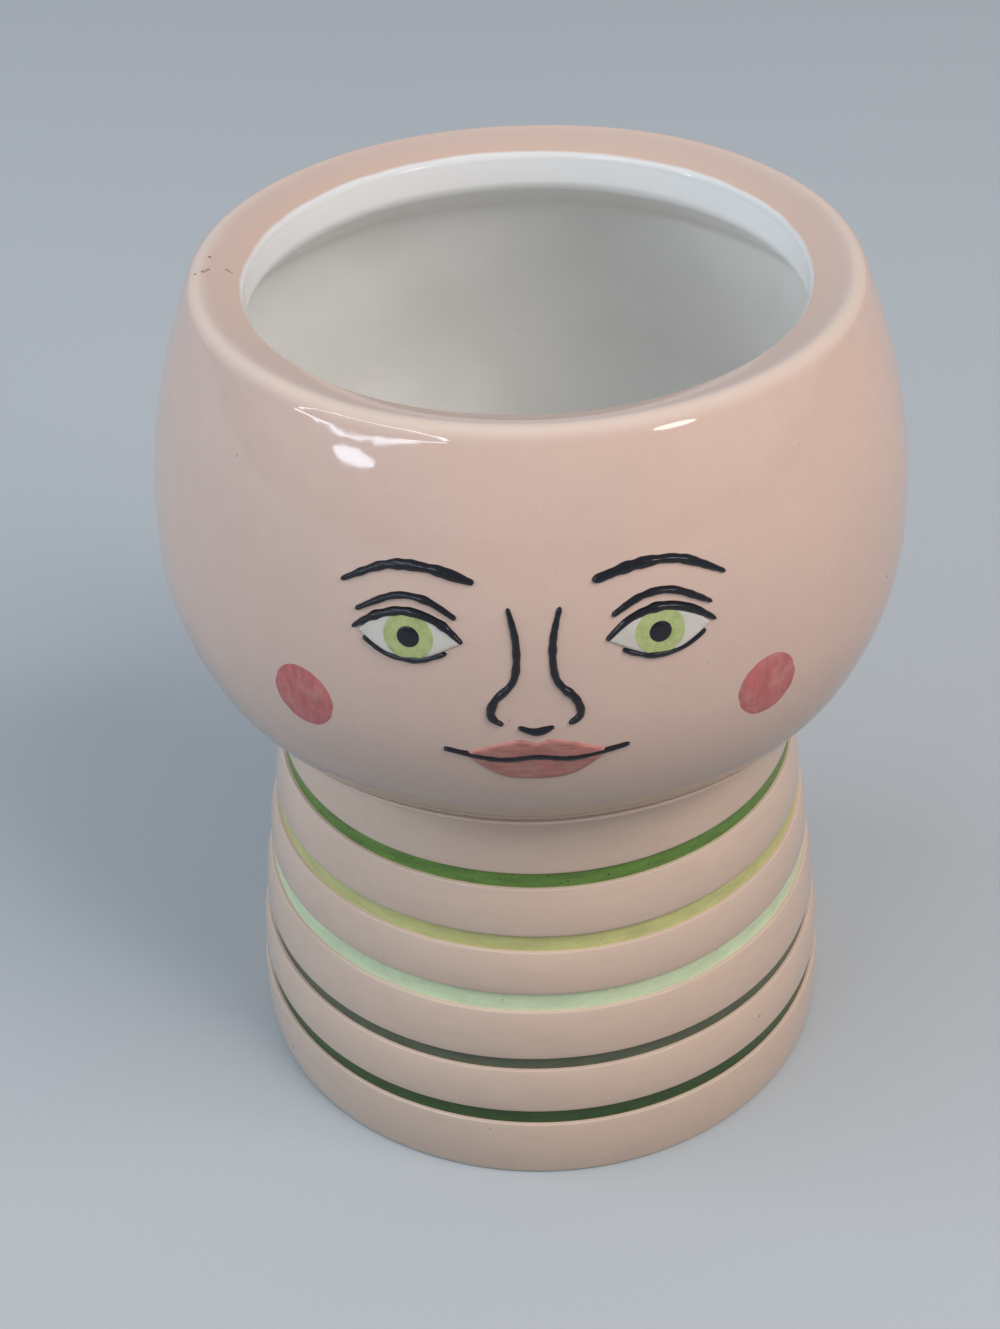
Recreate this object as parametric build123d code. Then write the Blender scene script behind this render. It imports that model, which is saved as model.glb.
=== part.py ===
"""Face vase: an open head bowl on a ringed neck, with a face in raised glaze lines.

Millimetres, +Z up, origin at the middle of the foot on the table. The face looks along -Y,
and left and right are as a person in front of the vase sees them.
"""
import os
from math import cos, radians, sin, sqrt

from build123d import *

# Heights that stack up from the table
NECK_HEIGHT = 79.7
LEDGE_HEIGHT = 0.8
RIM_CORNER_HEIGHT = 69.9        # ledge to the outer corner of the rim, before it is rounded

# Head bowl, outside: three arcs that run into each other
HEAD_RADIUS = 61.1
WIDEST_ABOVE_LEDGE = 26.2
FOREHEAD_ARC_RADIUS = 103.0
CHEEK_ARC_RADIUS = 44.0
CHEEK_ARC_ANGLE = 24.0
JAW_INSET = 9.9                 # from the head's widest radius in to where the jaw meets the ledge

# Rim and mouth
RIM_WIDTH = 7.9                 # from the rim's outer corner in to the throat
RIM_DROP = 2.7                  # the rim's top slopes down to the mouth by this much
RIM_OUTER_ROUNDING = 2.2
RIM_INNER_ROUNDING = 1.2
LIP_HEIGHT = 6.1
LIP_ROUNDING = 3.0
LIP_UNDERCUT_HEIGHT = 6.5       # the lip opens out to the bowl's inside over this height
LIP_UNDERCUT_ROUNDING = 5.0

# Walls, floor and the white glaze inside
HEAD_WALL = 6.5
NECK_WALL = 6.0
FLOOR_THICKNESS = 6.5
BORE_ROUNDING = 4.0
FLOOR_ROUNDING = 6.0
INNER_GLAZE = 0.5
GLAZE_TOP_GAP = 0.2             # the white glaze stops this far under the rim's inner rounding

# Chin ledge: a thin flange, with the fine groove of the seam between it and the jaw
LEDGE_OVERHANG = 0.3            # past the foot of the jaw
SEAM_GROOVE_DEPTH = 0.6
SEAM_GROOVE_HEIGHT = 0.25

# Neck, outside
COLLAR_INSET = 9.7              # from the foot of the jaw in to the top of the neck
NECK_TAPER_POWER_SHARE = 1.4
COLLAR_HOLLOW_RADIUS = 5.0      # the collar curves out to the ledge
COLLAR_HOLLOW_ANGLE = 50.0
RING_BULGE = 0.45
FOOT_RADIUS = 52.2
BELLY_OVER_FOOT = 0.7
FOOT_ROUNDING = 0.6
FOOT_RING_WIDTH = 8.0
FOOT_RECESS_DEPTH = 1.2

# Grooves in the neck and the glaze laid in them, from the foot up
BAND_NAMES = ("dark_green_band", "grey_green_band", "mint_band", "olive_band", "leaf_green_band")
BAND_HEIGHT_SHARES = (0.1506, 0.3001, 0.4537, 0.6046, 0.7576)        # of the neck's height
BAND_WIDTH = 2.8
BAND_WIDTH_SHARES = (1.0, 0.84, 1.25, 1.08, 0.96)
GROOVE_DEPTH = 1.0
GROOVE_EDGE_ROUNDING = 0.3
BAND_GLAZE = 0.4

# How far each glaze stands up from the head
LINE_RISE = 0.6
PUPIL_RISE = 0.5
EYE_GLAZE_RISE = 0.35
LIP_GLAZE_RISE = 0.35
CHEEK_GLAZE_RISE = 0.3

# Face, on the usual thirds: rim to brow, brow to nose, nose to chin
CHIN_ABOVE_LEDGE = 6.0
EYE_WIDTH = 15.5
EYE_ANGLE = 17.0                # from the face's middle, round the vase
EYE_LINE_SHARE = 0.4            # of the middle third, down from the brow
IRIS_RADIUS = 3.7
PUPIL_RADIUS = 1.7
EYE_CORNER_SHARES = ((-0.5, -0.02), (0.5, -0.03))
LASH_WIDTH = 1.4
UPPER_LASH_SHARES = ((-0.5, -0.02), (-0.27, 0.17), (0.02, 0.24), (0.3, 0.16), (0.56, -0.02))
UPPER_LASH_WIDTH_SHARES = (0.6, 0.95, 1.1, 1.0, 0.55)
LOWER_LASH_SHARES = ((-0.36, -0.13), (-0.1, -0.23), (0.2, -0.22), (0.45, -0.09))
LOWER_LASH_WIDTH_SHARES = (0.55, 0.85, 0.85, 0.6)
CREASE_WIDTH = 1.2
CREASE_SHARES = ((-0.44, 0.22), (-0.15, 0.375), (0.15, 0.375), (0.52, 0.17))
CREASE_WIDTH_SHARES = (0.7, 1.0, 1.0, 0.7)
BROW_WIDTH = 1.7
BROW_LENGTH = 20.0
BROW_SHARES = ((-0.46, 0.02), (-0.14, 0.1), (0.18, 0.08), (0.52, -0.1))
BROW_WIDTH_SHARES = (0.75, 1.0, 0.85, 0.45)
NOSE_WIDTH = 13.0
NOSE_LINE_WIDTH = 1.3
NOSE_SIDE_SHARES = ((0.56, 0.86), (0.4, 0.6), (0.46, 0.33), (0.88, 0.16), (0.98, 0.03), (0.72, -0.04))
NOSE_SIDE_WIDTH_SHARES = (0.55, 0.9, 0.9, 1.0, 1.0, 0.7)
NOSE_BASE_SHARES = ((-0.2, -0.09), (0, -0.16), (0.2, -0.09))
NOSE_BASE_WIDTH_SHARES = (0.7, 1.0, 0.7)
MOUTH_WIDTH = 27.0
MOUTH_LINE_WIDTH = 1.3
MOUTH_SHARES = ((-0.5, 0.04), (-0.2, -0.01), (0, 0.012), (0.2, -0.01), (0.5, 0.04))
MOUTH_WIDTH_SHARES = (0.6, 0.95, 1.0, 0.95, 0.6)
UPPER_LIP_HEIGHT = 3.6
UPPER_LIP_SHARES = (
    (-0.42, 0.06), (-0.25, 0.62), (-0.09, 1.0), (0, 0.8), (0.09, 1.0), (0.25, 0.62), (0.42, 0.06),
)
LOWER_LIP_HEIGHT = 4.6
LOWER_LIP_SHARES = ((-0.38, 0), (-0.2, 0.82), (0, 1.0), (0.2, 0.82), (0.38, 0))
CHEEK_RADIUS = 5.4
CHEEK_ANGLE = 34.0
CHEEK_DROP_SHARE = 0.12         # of a third, down from the base of the nose

CUT_OVERRUN = 10.0

# Places worked out from the sizes above
LEDGE_TOP = NECK_HEIGHT + LEDGE_HEIGHT
WIDEST = LEDGE_TOP + WIDEST_ABOVE_LEDGE
RIM_CORNER = LEDGE_TOP + RIM_CORNER_HEIGHT
RIM_INNER = RIM_CORNER - RIM_DROP
LIP_FOOT = RIM_INNER - LIP_HEIGHT
GLAZE_TOP = RIM_INNER - RIM_INNER_ROUNDING - GLAZE_TOP_GAP
FOREHEAD_CENTRE = HEAD_RADIUS - FOREHEAD_ARC_RADIUS
CHEEK_CENTRE = HEAD_RADIUS - CHEEK_ARC_RADIUS
RIM_RADIUS = FOREHEAD_CENTRE + sqrt(FOREHEAD_ARC_RADIUS ** 2 - (RIM_CORNER - WIDEST) ** 2)
THROAT_RADIUS = RIM_RADIUS - RIM_WIDTH
JAW_RADIUS = HEAD_RADIUS - JAW_INSET
LEDGE_RADIUS = JAW_RADIUS + LEDGE_OVERHANG
COLLAR_RADIUS = JAW_RADIUS - COLLAR_INSET
BELLY_RADIUS = FOOT_RADIUS + BELLY_OVER_FOOT
THIRD = (RIM_CORNER - LEDGE_TOP - CHIN_ABOVE_LEDGE) / 3
BROW_LINE = RIM_CORNER - THIRD
NOSE_BASE = BROW_LINE - THIRD
EYE_LINE = BROW_LINE - THIRD * EYE_LINE_SHARE
MOUTH_LINE = NOSE_BASE - THIRD / 3


def arc_point(centre, radius, angle):
    """A point on an arc about (centre, WIDEST), the angle counted up from the widest height."""
    return centre + radius * cos(radians(angle)), WIDEST + radius * sin(radians(angle))


def forehead_radius(height, wall):
    """Radius of the forehead arc at a height, a wall's thickness inside the head's surface."""
    return FOREHEAD_CENTRE + sqrt((FOREHEAD_ARC_RADIUS - wall) ** 2 - (height - WIDEST) ** 2)


def forehead_arc(height, wall):
    """From the widest height up or down to another one, a wall's thickness inside."""
    mid = WIDEST + (height - WIDEST) / 2
    return ThreePointArc(
        (HEAD_RADIUS - wall, WIDEST),
        (forehead_radius(mid, wall), mid),
        (forehead_radius(height, wall), height),
    )


def cheek_arc(wall):
    """From the widest height down to the jaw, a wall's thickness inside."""
    radius = CHEEK_ARC_RADIUS - wall
    angles = (0, -CHEEK_ARC_ANGLE / 2, -CHEEK_ARC_ANGLE)
    return ThreePointArc(*[arc_point(CHEEK_CENTRE, radius, angle) for angle in angles])


def jaw_arc(wall, end):
    """From the foot of the cheek arc to a point, running on from it smoothly."""
    start = arc_point(CHEEK_CENTRE, CHEEK_ARC_RADIUS - wall, -CHEEK_ARC_ANGLE)
    tangent = (-sin(radians(CHEEK_ARC_ANGLE)), -cos(radians(CHEEK_ARC_ANGLE)))
    return TangentArc(start, end, tangent=tangent)


def neck_radius(height):
    """The neck's taper, from the belly over the foot to the collar under the ledge."""
    share = (height / NECK_HEIGHT) ** NECK_TAPER_POWER_SHARE
    return BELLY_RADIUS - (BELLY_RADIUS - COLLAR_RADIUS) * share


def bore_radius(height):
    """Inside of the neck, straight from over the floor to the head."""
    foot = neck_radius(FLOOR_THICKNESS) - NECK_WALL
    top = neck_radius(NECK_HEIGHT) - NECK_WALL
    return foot + (top - foot) * (height - FLOOR_THICKNESS) / (LEDGE_TOP - FLOOR_THICKNESS)


def rounded(face, corners, rounding):
    """A flat outline with the named corners rounded."""
    vertices = [min(face.vertices(), key=lambda v: (Vector(v) - Vector(*c)).length) for c in corners]
    return fillet(vertices, rounding)


def slab(low, high, radius):
    """A flat outline from the axis out to a radius, between two heights."""
    return Polyline((0, low), (radius, low), (radius, high), (0, high), close=True)


def turned(face):
    """A flat outline, drawn as radius and height, turned about the vase's axis."""
    return revolve(Plane.XZ * face, axis=Axis.Z)


def cavity_outline():
    """The air inside the vase, from over the rim down to the floor."""
    top = RIM_CORNER + CUT_OVERRUN
    undercut_foot = LIP_FOOT - LIP_UNDERCUT_HEIGHT
    undercut_end = (forehead_radius(undercut_foot, HEAD_WALL), undercut_foot)
    bore_top = (bore_radius(LEDGE_TOP), LEDGE_TOP)
    bore_foot = (bore_radius(FLOOR_THICKNESS), FLOOR_THICKNESS)
    face = make_face([
        Line((0, top), (THROAT_RADIUS, top)),
        Line((THROAT_RADIUS, top), (THROAT_RADIUS, LIP_FOOT)),
        Line((THROAT_RADIUS, LIP_FOOT), undercut_end),
        forehead_arc(undercut_foot, HEAD_WALL),
        cheek_arc(HEAD_WALL),
        jaw_arc(HEAD_WALL, bore_top),
        Line(bore_top, bore_foot),
        Line(bore_foot, (0, FLOOR_THICKNESS)),
        Line((0, FLOOR_THICKNESS), (0, top)),
    ])
    face = rounded(face, [(THROAT_RADIUS, LIP_FOOT)], LIP_ROUNDING)
    face = rounded(face, [undercut_end], LIP_UNDERCUT_ROUNDING)
    face = rounded(face, [bore_top], BORE_ROUNDING)
    return rounded(face, [bore_foot], FLOOR_ROUNDING)


def glaze_bed_outline(cavity):
    """The cavity with room for the white glaze, up to where that glaze ends."""
    return offset(cavity, INNER_GLAZE) & make_face(slab(0, GLAZE_TOP, HEAD_RADIUS))


def head_surface_outline():
    """The head's outside, closed to the axis, with the rim's corner still sharp."""
    rim_corner = (RIM_RADIUS, RIM_CORNER)
    jaw = (JAW_RADIUS, LEDGE_TOP)
    return make_face([
        Line((0, LEDGE_TOP), jaw),
        jaw_arc(0, jaw),
        cheek_arc(0),
        forehead_arc(RIM_CORNER, 0),
        Line(rim_corner, (THROAT_RADIUS, RIM_INNER)),
        Line((THROAT_RADIUS, RIM_INNER), (0, RIM_INNER)),
        Line((0, RIM_INNER), (0, LEDGE_TOP)),
    ])


def head_bowl(cavity, glaze_bed):
    """The head's clay shell, from the ledge to the rounded rim."""
    face = head_surface_outline() - cavity - glaze_bed
    face = rounded(face, [(RIM_RADIUS, RIM_CORNER)], RIM_OUTER_ROUNDING)
    face = rounded(face, [(THROAT_RADIUS, RIM_INNER)], RIM_INNER_ROUNDING)
    return turned(face)


def chin_ledge(glaze_bed):
    """Thin flange under the jaw, with the fine groove of the seam at its top."""
    groove_foot = LEDGE_TOP - SEAM_GROOVE_HEIGHT
    groove = LEDGE_RADIUS - SEAM_GROOVE_DEPTH
    face = make_face(Polyline(
        (0, NECK_HEIGHT),
        (LEDGE_RADIUS, NECK_HEIGHT),
        (LEDGE_RADIUS, groove_foot),
        (groove, groove_foot),
        (groove, LEDGE_TOP),
        (0, LEDGE_TOP),
        close=True,
    ))
    return turned(face - glaze_bed)


def bands():
    """Each groove's lowest and highest height, from the foot up."""
    heights = [NECK_HEIGHT * share for share in BAND_HEIGHT_SHARES]
    widths = [BAND_WIDTH * share for share in BAND_WIDTH_SHARES]
    return [(low, low + width) for low, width in zip(heights, widths)]


def ring_arc(start, end):
    """One gently swelling ring of the neck's outside."""
    mid = (Vector(*start) + Vector(*end)) / 2
    out = (Vector(*end) - Vector(*start)).rotate(Axis.Z, -90).normalized() * RING_BULGE
    return ThreePointArc(start, mid + out, end)


def neck_outline():
    """The neck's outside, closed to the axis, with a groove for each band."""
    hollow_foot = NECK_HEIGHT - COLLAR_HOLLOW_RADIUS * sin(radians(COLLAR_HOLLOW_ANGLE))
    hollow_centre = neck_radius(hollow_foot) + COLLAR_HOLLOW_RADIUS
    hollow = []
    for angle in (0, radians(COLLAR_HOLLOW_ANGLE) / 2, radians(COLLAR_HOLLOW_ANGLE)):
        out = hollow_centre - COLLAR_HOLLOW_RADIUS * cos(angle)
        hollow.append((out, hollow_foot + COLLAR_HOLLOW_RADIUS * sin(angle)))
    edges = [Line((0, 0), (FOOT_RADIUS, 0))]
    corners = []
    place = (FOOT_RADIUS, 0)
    for low, high in bands():
        ring_top = (neck_radius(low), low)
        ring_foot = (neck_radius(high), high)
        groove = [(radius - GROOVE_DEPTH, height) for radius, height in (ring_top, ring_foot)]
        edges += [ring_arc(place, ring_top), *Polyline(ring_top, *groove, ring_foot).edges()]
        corners += [ring_top, ring_foot]
        place = ring_foot
    edges += [ring_arc(place, hollow[0]), ThreePointArc(*hollow)]
    edges += [Line(hollow[-1], (0, NECK_HEIGHT)), Line((0, NECK_HEIGHT), (0, 0))]
    face = rounded(make_face(edges), corners, GROOVE_EDGE_ROUNDING)
    return rounded(face, [(FOOT_RADIUS, 0)], FOOT_ROUNDING)


def neck_and_foot(glaze_bed):
    recess = make_face(slab(0, FOOT_RECESS_DEPTH, FOOT_RADIUS - FOOT_RING_WIDTH))
    return turned(neck_outline() - glaze_bed - recess)


def inner_white_glaze(cavity, glaze_bed):
    return turned(glaze_bed - cavity)


def glaze_band(low, high):
    """The glaze on the floor of one groove."""
    radii = [(neck_radius(height) - GROOVE_DEPTH, height) for height in (low, high)]
    outer = [(radius + BAND_GLAZE, height) for radius, height in reversed(radii)]
    return turned(make_face(Polyline(*radii, *outer, close=True)))


def skin(rise):
    """A skin that stands up from the face by an even thickness, from the jaw to the forehead."""
    jaw = Vector(JAW_RADIUS, LEDGE_TOP)
    out = jaw_arc(0, jaw).tangent_at(1).rotate(Axis.Z, 90)
    grown_jaw = jaw + out * rise
    low = [Line(jaw, grown_jaw)]
    inner = [jaw_arc(0, jaw), cheek_arc(0), forehead_arc(LIP_FOOT, 0)]
    outer = [jaw_arc(-rise, grown_jaw), cheek_arc(-rise), forehead_arc(LIP_FOOT, -rise)]
    high = [Line((forehead_radius(LIP_FOOT, 0), LIP_FOOT), (forehead_radius(LIP_FOOT, -rise), LIP_FOOT))]
    return turned(make_face(low + inner + outer + high))


def front_plane(angle):
    """Upright plane through the axis, facing out from the vase at an angle from the face's middle."""
    out = (sin(radians(angle)), -cos(radians(angle)), 0)
    across = (cos(radians(angle)), sin(radians(angle)), 0)
    return Plane(origin=(0, 0, 0), x_dir=across, z_dir=out)


def laid_on(skin_part, outline, angle):
    """The part of a skin that lies behind a flat outline, seen from an angle."""
    return extrude(front_plane(angle) * outline, HEAD_RADIUS + CUT_OVERRUN) & skin_part


def scaled_points(point_shares, size, origin):
    """Points given as shares of a size, about an origin."""
    return [(origin[0] + across * size, origin[1] + up * size) for across, up in point_shares]


def stroke(points, width, width_shares):
    """A brushed line with round ends, its width at each point a share of the full width."""
    spine = Spline(*points)
    halves = [width * share / 2 for share in width_shares]
    along = [spine.tangent_at(Vector(*point)) for point in points]
    left = [Vector(*p) + a.rotate(Axis.Z, 90) * h for p, a, h in zip(points, along, halves)]
    right = [Vector(*p) - a.rotate(Axis.Z, 90) * h for p, a, h in zip(points, along, halves)]
    start_tip = Vector(*points[0]) - along[0] * halves[0]
    end_tip = Vector(*points[-1]) + along[-1] * halves[-1]
    return make_face([
        Spline(*left),
        ThreePointArc(left[-1], end_tip, right[-1]),
        Spline(*reversed(right)),
        ThreePointArc(right[0], start_tip, left[0]),
    ])


def eye_outlines():
    """Flat outlines of the right eye and brow, drawn about the eye's own middle."""
    eye = (0, EYE_LINE)
    upper_points = scaled_points(UPPER_LASH_SHARES, EYE_WIDTH, eye)
    lower_points = scaled_points(LOWER_LASH_SHARES, EYE_WIDTH, eye)
    inner_corner, outer_corner = scaled_points(EYE_CORNER_SHARES, EYE_WIDTH, eye)
    upper = stroke(upper_points, LASH_WIDTH, UPPER_LASH_WIDTH_SHARES)
    lower = stroke(lower_points, LASH_WIDTH, LOWER_LASH_WIDTH_SHARES) - upper
    almond = make_face([
        Spline(inner_corner, *upper_points[1:-1], outer_corner),
        Spline(outer_corner, *reversed(lower_points[1:-1]), inner_corner),
    ])
    pupil = Pos(*eye) * Circle(PUPIL_RADIUS)
    iris = (Pos(*eye) * Circle(IRIS_RADIUS) & almond) - upper - lower
    brow_points = scaled_points(BROW_SHARES, BROW_LENGTH, (0, BROW_LINE))
    crease_points = scaled_points(CREASE_SHARES, EYE_WIDTH, eye)
    return {
        "brow_line": (LINE_RISE, stroke(brow_points, BROW_WIDTH, BROW_WIDTH_SHARES)),
        "lid_crease_line": (LINE_RISE, stroke(crease_points, CREASE_WIDTH, CREASE_WIDTH_SHARES)),
        "upper_lash_line": (LINE_RISE, upper),
        "lower_lash_line": (LINE_RISE, lower),
        "eye_white": (EYE_GLAZE_RISE, almond - upper - lower - iris - pupil),
        "iris": (EYE_GLAZE_RISE, iris - pupil),
        "pupil": (PUPIL_RISE, pupil),
    }


def nose_outlines():
    """The two sides of the nose and the line under its tip."""
    side_points = [(across * NOSE_WIDTH / 2, NOSE_BASE + up * THIRD) for across, up in NOSE_SIDE_SHARES]
    base_points = scaled_points(NOSE_BASE_SHARES, NOSE_WIDTH, (0, NOSE_BASE))
    side = stroke(side_points, NOSE_LINE_WIDTH, NOSE_SIDE_WIDTH_SHARES)
    return {
        "right_nose_line": side,
        "left_nose_line": mirror(side, about=Plane.YZ),
        "nose_base_line": stroke(base_points, NOSE_LINE_WIDTH, NOSE_BASE_WIDTH_SHARES),
    }


def mouth_outlines():
    """The mouth line and the two lips that it divides."""
    mouth = (0, MOUTH_LINE)
    line_points = scaled_points(MOUTH_SHARES, MOUTH_WIDTH, mouth)
    line = stroke(line_points, MOUTH_LINE_WIDTH, MOUTH_WIDTH_SHARES)
    upper_points = [
        (across * MOUTH_WIDTH, MOUTH_LINE + up * UPPER_LIP_HEIGHT) for across, up in UPPER_LIP_SHARES
    ]
    lower_points = [
        (across * MOUTH_WIDTH, MOUTH_LINE - down * LOWER_LIP_HEIGHT) for across, down in LOWER_LIP_SHARES
    ]
    upper = make_face([Spline(*upper_points), Line(upper_points[-1], upper_points[0])])
    lower = make_face([Spline(*lower_points), Line(lower_points[-1], lower_points[0])])
    return line, upper - line, lower - line


def face_parts():
    """Every line and field of glaze on the face, by name."""
    rises = (LINE_RISE, PUPIL_RISE, EYE_GLAZE_RISE, LIP_GLAZE_RISE, CHEEK_GLAZE_RISE)
    skins = {rise: skin(rise) for rise in set(rises)}
    made = {}
    pairs = {name: (rise, outline, EYE_ANGLE) for name, (rise, outline) in eye_outlines().items()}
    cheek = Pos(0, NOSE_BASE - THIRD * CHEEK_DROP_SHARE) * Circle(CHEEK_RADIUS)
    pairs["cheek_disc"] = (CHEEK_GLAZE_RISE, cheek, CHEEK_ANGLE)
    for name, (rise, outline, angle) in pairs.items():
        right = laid_on(skins[rise], outline, angle)
        made["right_" + name] = right
        made["left_" + name] = mirror(right, about=Plane.YZ)
    for name, outline in nose_outlines().items():
        made[name] = laid_on(skins[LINE_RISE], outline, 0)
    mouth_line, upper_lip, lower_lip = mouth_outlines()
    made["mouth_line"] = laid_on(skins[LINE_RISE], mouth_line, 0)
    made["upper_lip_glaze"] = laid_on(skins[LIP_GLAZE_RISE], upper_lip, 0)
    made["lower_lip_glaze"] = laid_on(skins[LIP_GLAZE_RISE], lower_lip, 0)
    return made


if __name__ == "__main__":
    os.makedirs("parts", exist_ok=True)
    cavity = cavity_outline()
    glaze_bed = glaze_bed_outline(cavity)
    parts = {
        "head_bowl": head_bowl(cavity, glaze_bed),
        "chin_ledge": chin_ledge(glaze_bed),
        "neck_and_foot": neck_and_foot(glaze_bed),
        "inner_white_glaze": inner_white_glaze(cavity, glaze_bed),
    }
    for name, (low, high) in zip(BAND_NAMES, bands()):
        parts[name] = glaze_band(low, high)
    parts.update(face_parts())
    for name, part in parts.items():
        export_step(part, f"parts/{name}.step")
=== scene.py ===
"""Face vase: its glazed looks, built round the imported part.

Metres, +Z up, origin at the middle of the foot on the table. The face looks along -Y, and left
and right are as a person in front of the vase sees them.
"""

from math import asin, cos, pi, radians, sin, sqrt, tan, tau

import bmesh
import bpy
from mathutils import Matrix, Vector, noise
from mathutils.geometry import interpolate_bezier


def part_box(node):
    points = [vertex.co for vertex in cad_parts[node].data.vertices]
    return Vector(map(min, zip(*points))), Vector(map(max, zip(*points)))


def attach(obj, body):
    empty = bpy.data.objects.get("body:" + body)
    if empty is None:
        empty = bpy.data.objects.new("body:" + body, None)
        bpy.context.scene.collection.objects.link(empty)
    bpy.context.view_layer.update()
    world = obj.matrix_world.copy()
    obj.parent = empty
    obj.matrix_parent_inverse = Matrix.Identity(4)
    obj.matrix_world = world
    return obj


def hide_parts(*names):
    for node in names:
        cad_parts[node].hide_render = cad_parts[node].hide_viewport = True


bl_info = {
    "name": "Face Vase",
    "version": (1, 0, 0),
    "blender": (4, 5, 0),
    "location": "3D View > Sidebar > Vase",
    "description": "Builds a glazed face vase and a plain studio round it",
    "category": "Add Mesh",
}

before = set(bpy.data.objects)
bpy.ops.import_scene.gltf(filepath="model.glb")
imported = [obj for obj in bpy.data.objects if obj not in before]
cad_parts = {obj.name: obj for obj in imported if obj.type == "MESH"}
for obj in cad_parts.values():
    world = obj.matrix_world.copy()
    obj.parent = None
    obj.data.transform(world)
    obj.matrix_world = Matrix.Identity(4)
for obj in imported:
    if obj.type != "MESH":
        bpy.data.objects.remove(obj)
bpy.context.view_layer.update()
ledge_low, ledge_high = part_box("chin_ledge")

MM = 0.001
BODY = "root"
SIDES = {"right": 1, "left": -1}
BLACK_GLAZE = "black_line_glaze"
# Bands from the foot up: how cloudy, and the shade and share of dark and of light flecks
BANDS = {
    "dark_green": (0.18, 0.4, 0.3, 3.2, 0.05),
    "grey_green": (0.14, 0.5, 0.2, 1.7, 0.12),
    "mint": (0.07, 0.6, 0.03, 1.15, 0.15),
    "olive": (0.1, 0.55, 0.06, 1.25, 0.12),
    "leaf_green": (0.2, 0.3, 0.4, 1.6, 0.08),
}

# Rows and turns of the turned pieces
TURN_STEPS = 240
ROW = 1.2 * MM
WALL_ROW = 2.8 * MM
ROUNDING_ROWS = 6
MERGE = 0.0001 * MM
SHARP_ANGLE = radians(50)
LEDGE_EDGE = 0.12 * MM          # roundings too small for a user to change
FOOT_RING_EDGE = 0.4 * MM

# Hand-made unevenness, the same for every piece at one place
SWELL = 0.22 * MM
SWELL_SIZE = 45 * MM
LIFT = 0.22 * MM
LIFT_SIZE = 26 * MM
LIFT_SEED = Vector((3.1, 7.7, 1.9))
STEADY_HEIGHT = 12 * MM         # it grows from nothing over this height, so that the foot lies flat

# Raised lines
BEAD_SIDES = 16
BEAD_STEP = 0.35 * MM
BEAD_TIP_ROWS = 5
BEAD_SWELL = 0.3
BEAD_SWELL_SIZE = 1.5 * MM
SINK = 0.12 * MM                # how far the back of a line or pool lies in the head
STROKE_SAMPLES = 24
PART_SEED, SIDE_SEED = 3.7, 11.3
NOSE_SEED, NOSE_BASE_SEED, MOUTH_SEED = 5.1, 8.3, 2.9

# Pools, discs and drops of glaze: profiles as share of the radius, and drop from the top
POOL_COLUMNS, POOL_ROWS = 40, 14
IRIS_STEPS, PUPIL_STEPS, BLUSH_STEPS = 64, 40, 72
IRIS_PROFILE = ((0, 0.05 * MM), (0.55, 0.02 * MM), (0.86, 0), (1, 0.02 * MM))
IRIS_EDGE = 0.1 * MM
PUPIL_SHOULDER = (0.86, 0.8)    # shares of its radius and its rise
PUPIL_ROW = 0.1 * MM
BLUSH_ROWS = 12
BLUSH_FALL = 6                  # the power by which the patch runs out towards its edge
BLUSH_WOBBLES = ((1.1, 0.05), (5, 0.012))       # pace round the edge and share of the radius

# Face, drawn flat as shares of each feature's size: across, up, and a line's share of its width
EYE_CORNERS = ((-0.5, -0.02), (0.5, -0.03))
UPPER_LASH = (
    (-0.5, -0.02, 0.6), (-0.27, 0.17, 0.95), (0.02, 0.24, 1.1), (0.3, 0.16, 1), (0.56, -0.02, 0.55),
)
LOWER_LASH = ((-0.36, -0.13, 0.55), (-0.1, -0.23, 0.85), (0.2, -0.22, 0.85), (0.45, -0.09, 0.6))
CREASE = ((-0.44, 0.22, 0.7), (-0.15, 0.375, 1), (0.15, 0.375, 1), (0.52, 0.17, 0.7))
BROW = ((-0.46, 0.02, 0.75), (-0.14, 0.1, 1), (0.18, 0.08, 0.85), (0.52, -0.1, 0.45))
NOSE_SIDE = (
    (0.56, 0.86, 0.55), (0.4, 0.6, 0.9), (0.46, 0.33, 0.9), (0.88, 0.16, 1), (0.98, 0.03, 1),
    (0.72, -0.04, 0.7),
)
NOSE_BASE = ((-0.2, -0.09, 0.7), (0, -0.16, 1), (0.2, -0.09, 0.7))
MOUTH = (
    (-0.5, 0.04, 0.6), (-0.2, -0.01, 0.95), (0, 0.012, 1), (0.2, -0.01, 0.95), (0.5, 0.04, 0.6),
)
UPPER_LIP = (
    (-0.42, 0.06), (-0.25, 0.62), (-0.09, 1), (0, 0.8), (0.09, 1), (0.25, 0.62), (0.42, 0.06),
)
LOWER_LIP = ((-0.38, 0), (-0.2, 0.82), (0, 1), (0.2, 0.82), (0.38, 0))

# Iron flecks on top of the rim, in mm: across, back, size
RIM_FLECKS = (
    (-50.5, -2.7, 0.28), (-49.4, -1.8, 0.34), (-49.0, -1.2, 0.26), (-48.7, -0.6, 0.26),
    (-48.9, 3.4, 0.3), (-46.1, 0.9, 0.26), (-45.7, 0.6, 0.22), (-45.3, 0.4, 0.18),
)

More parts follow.
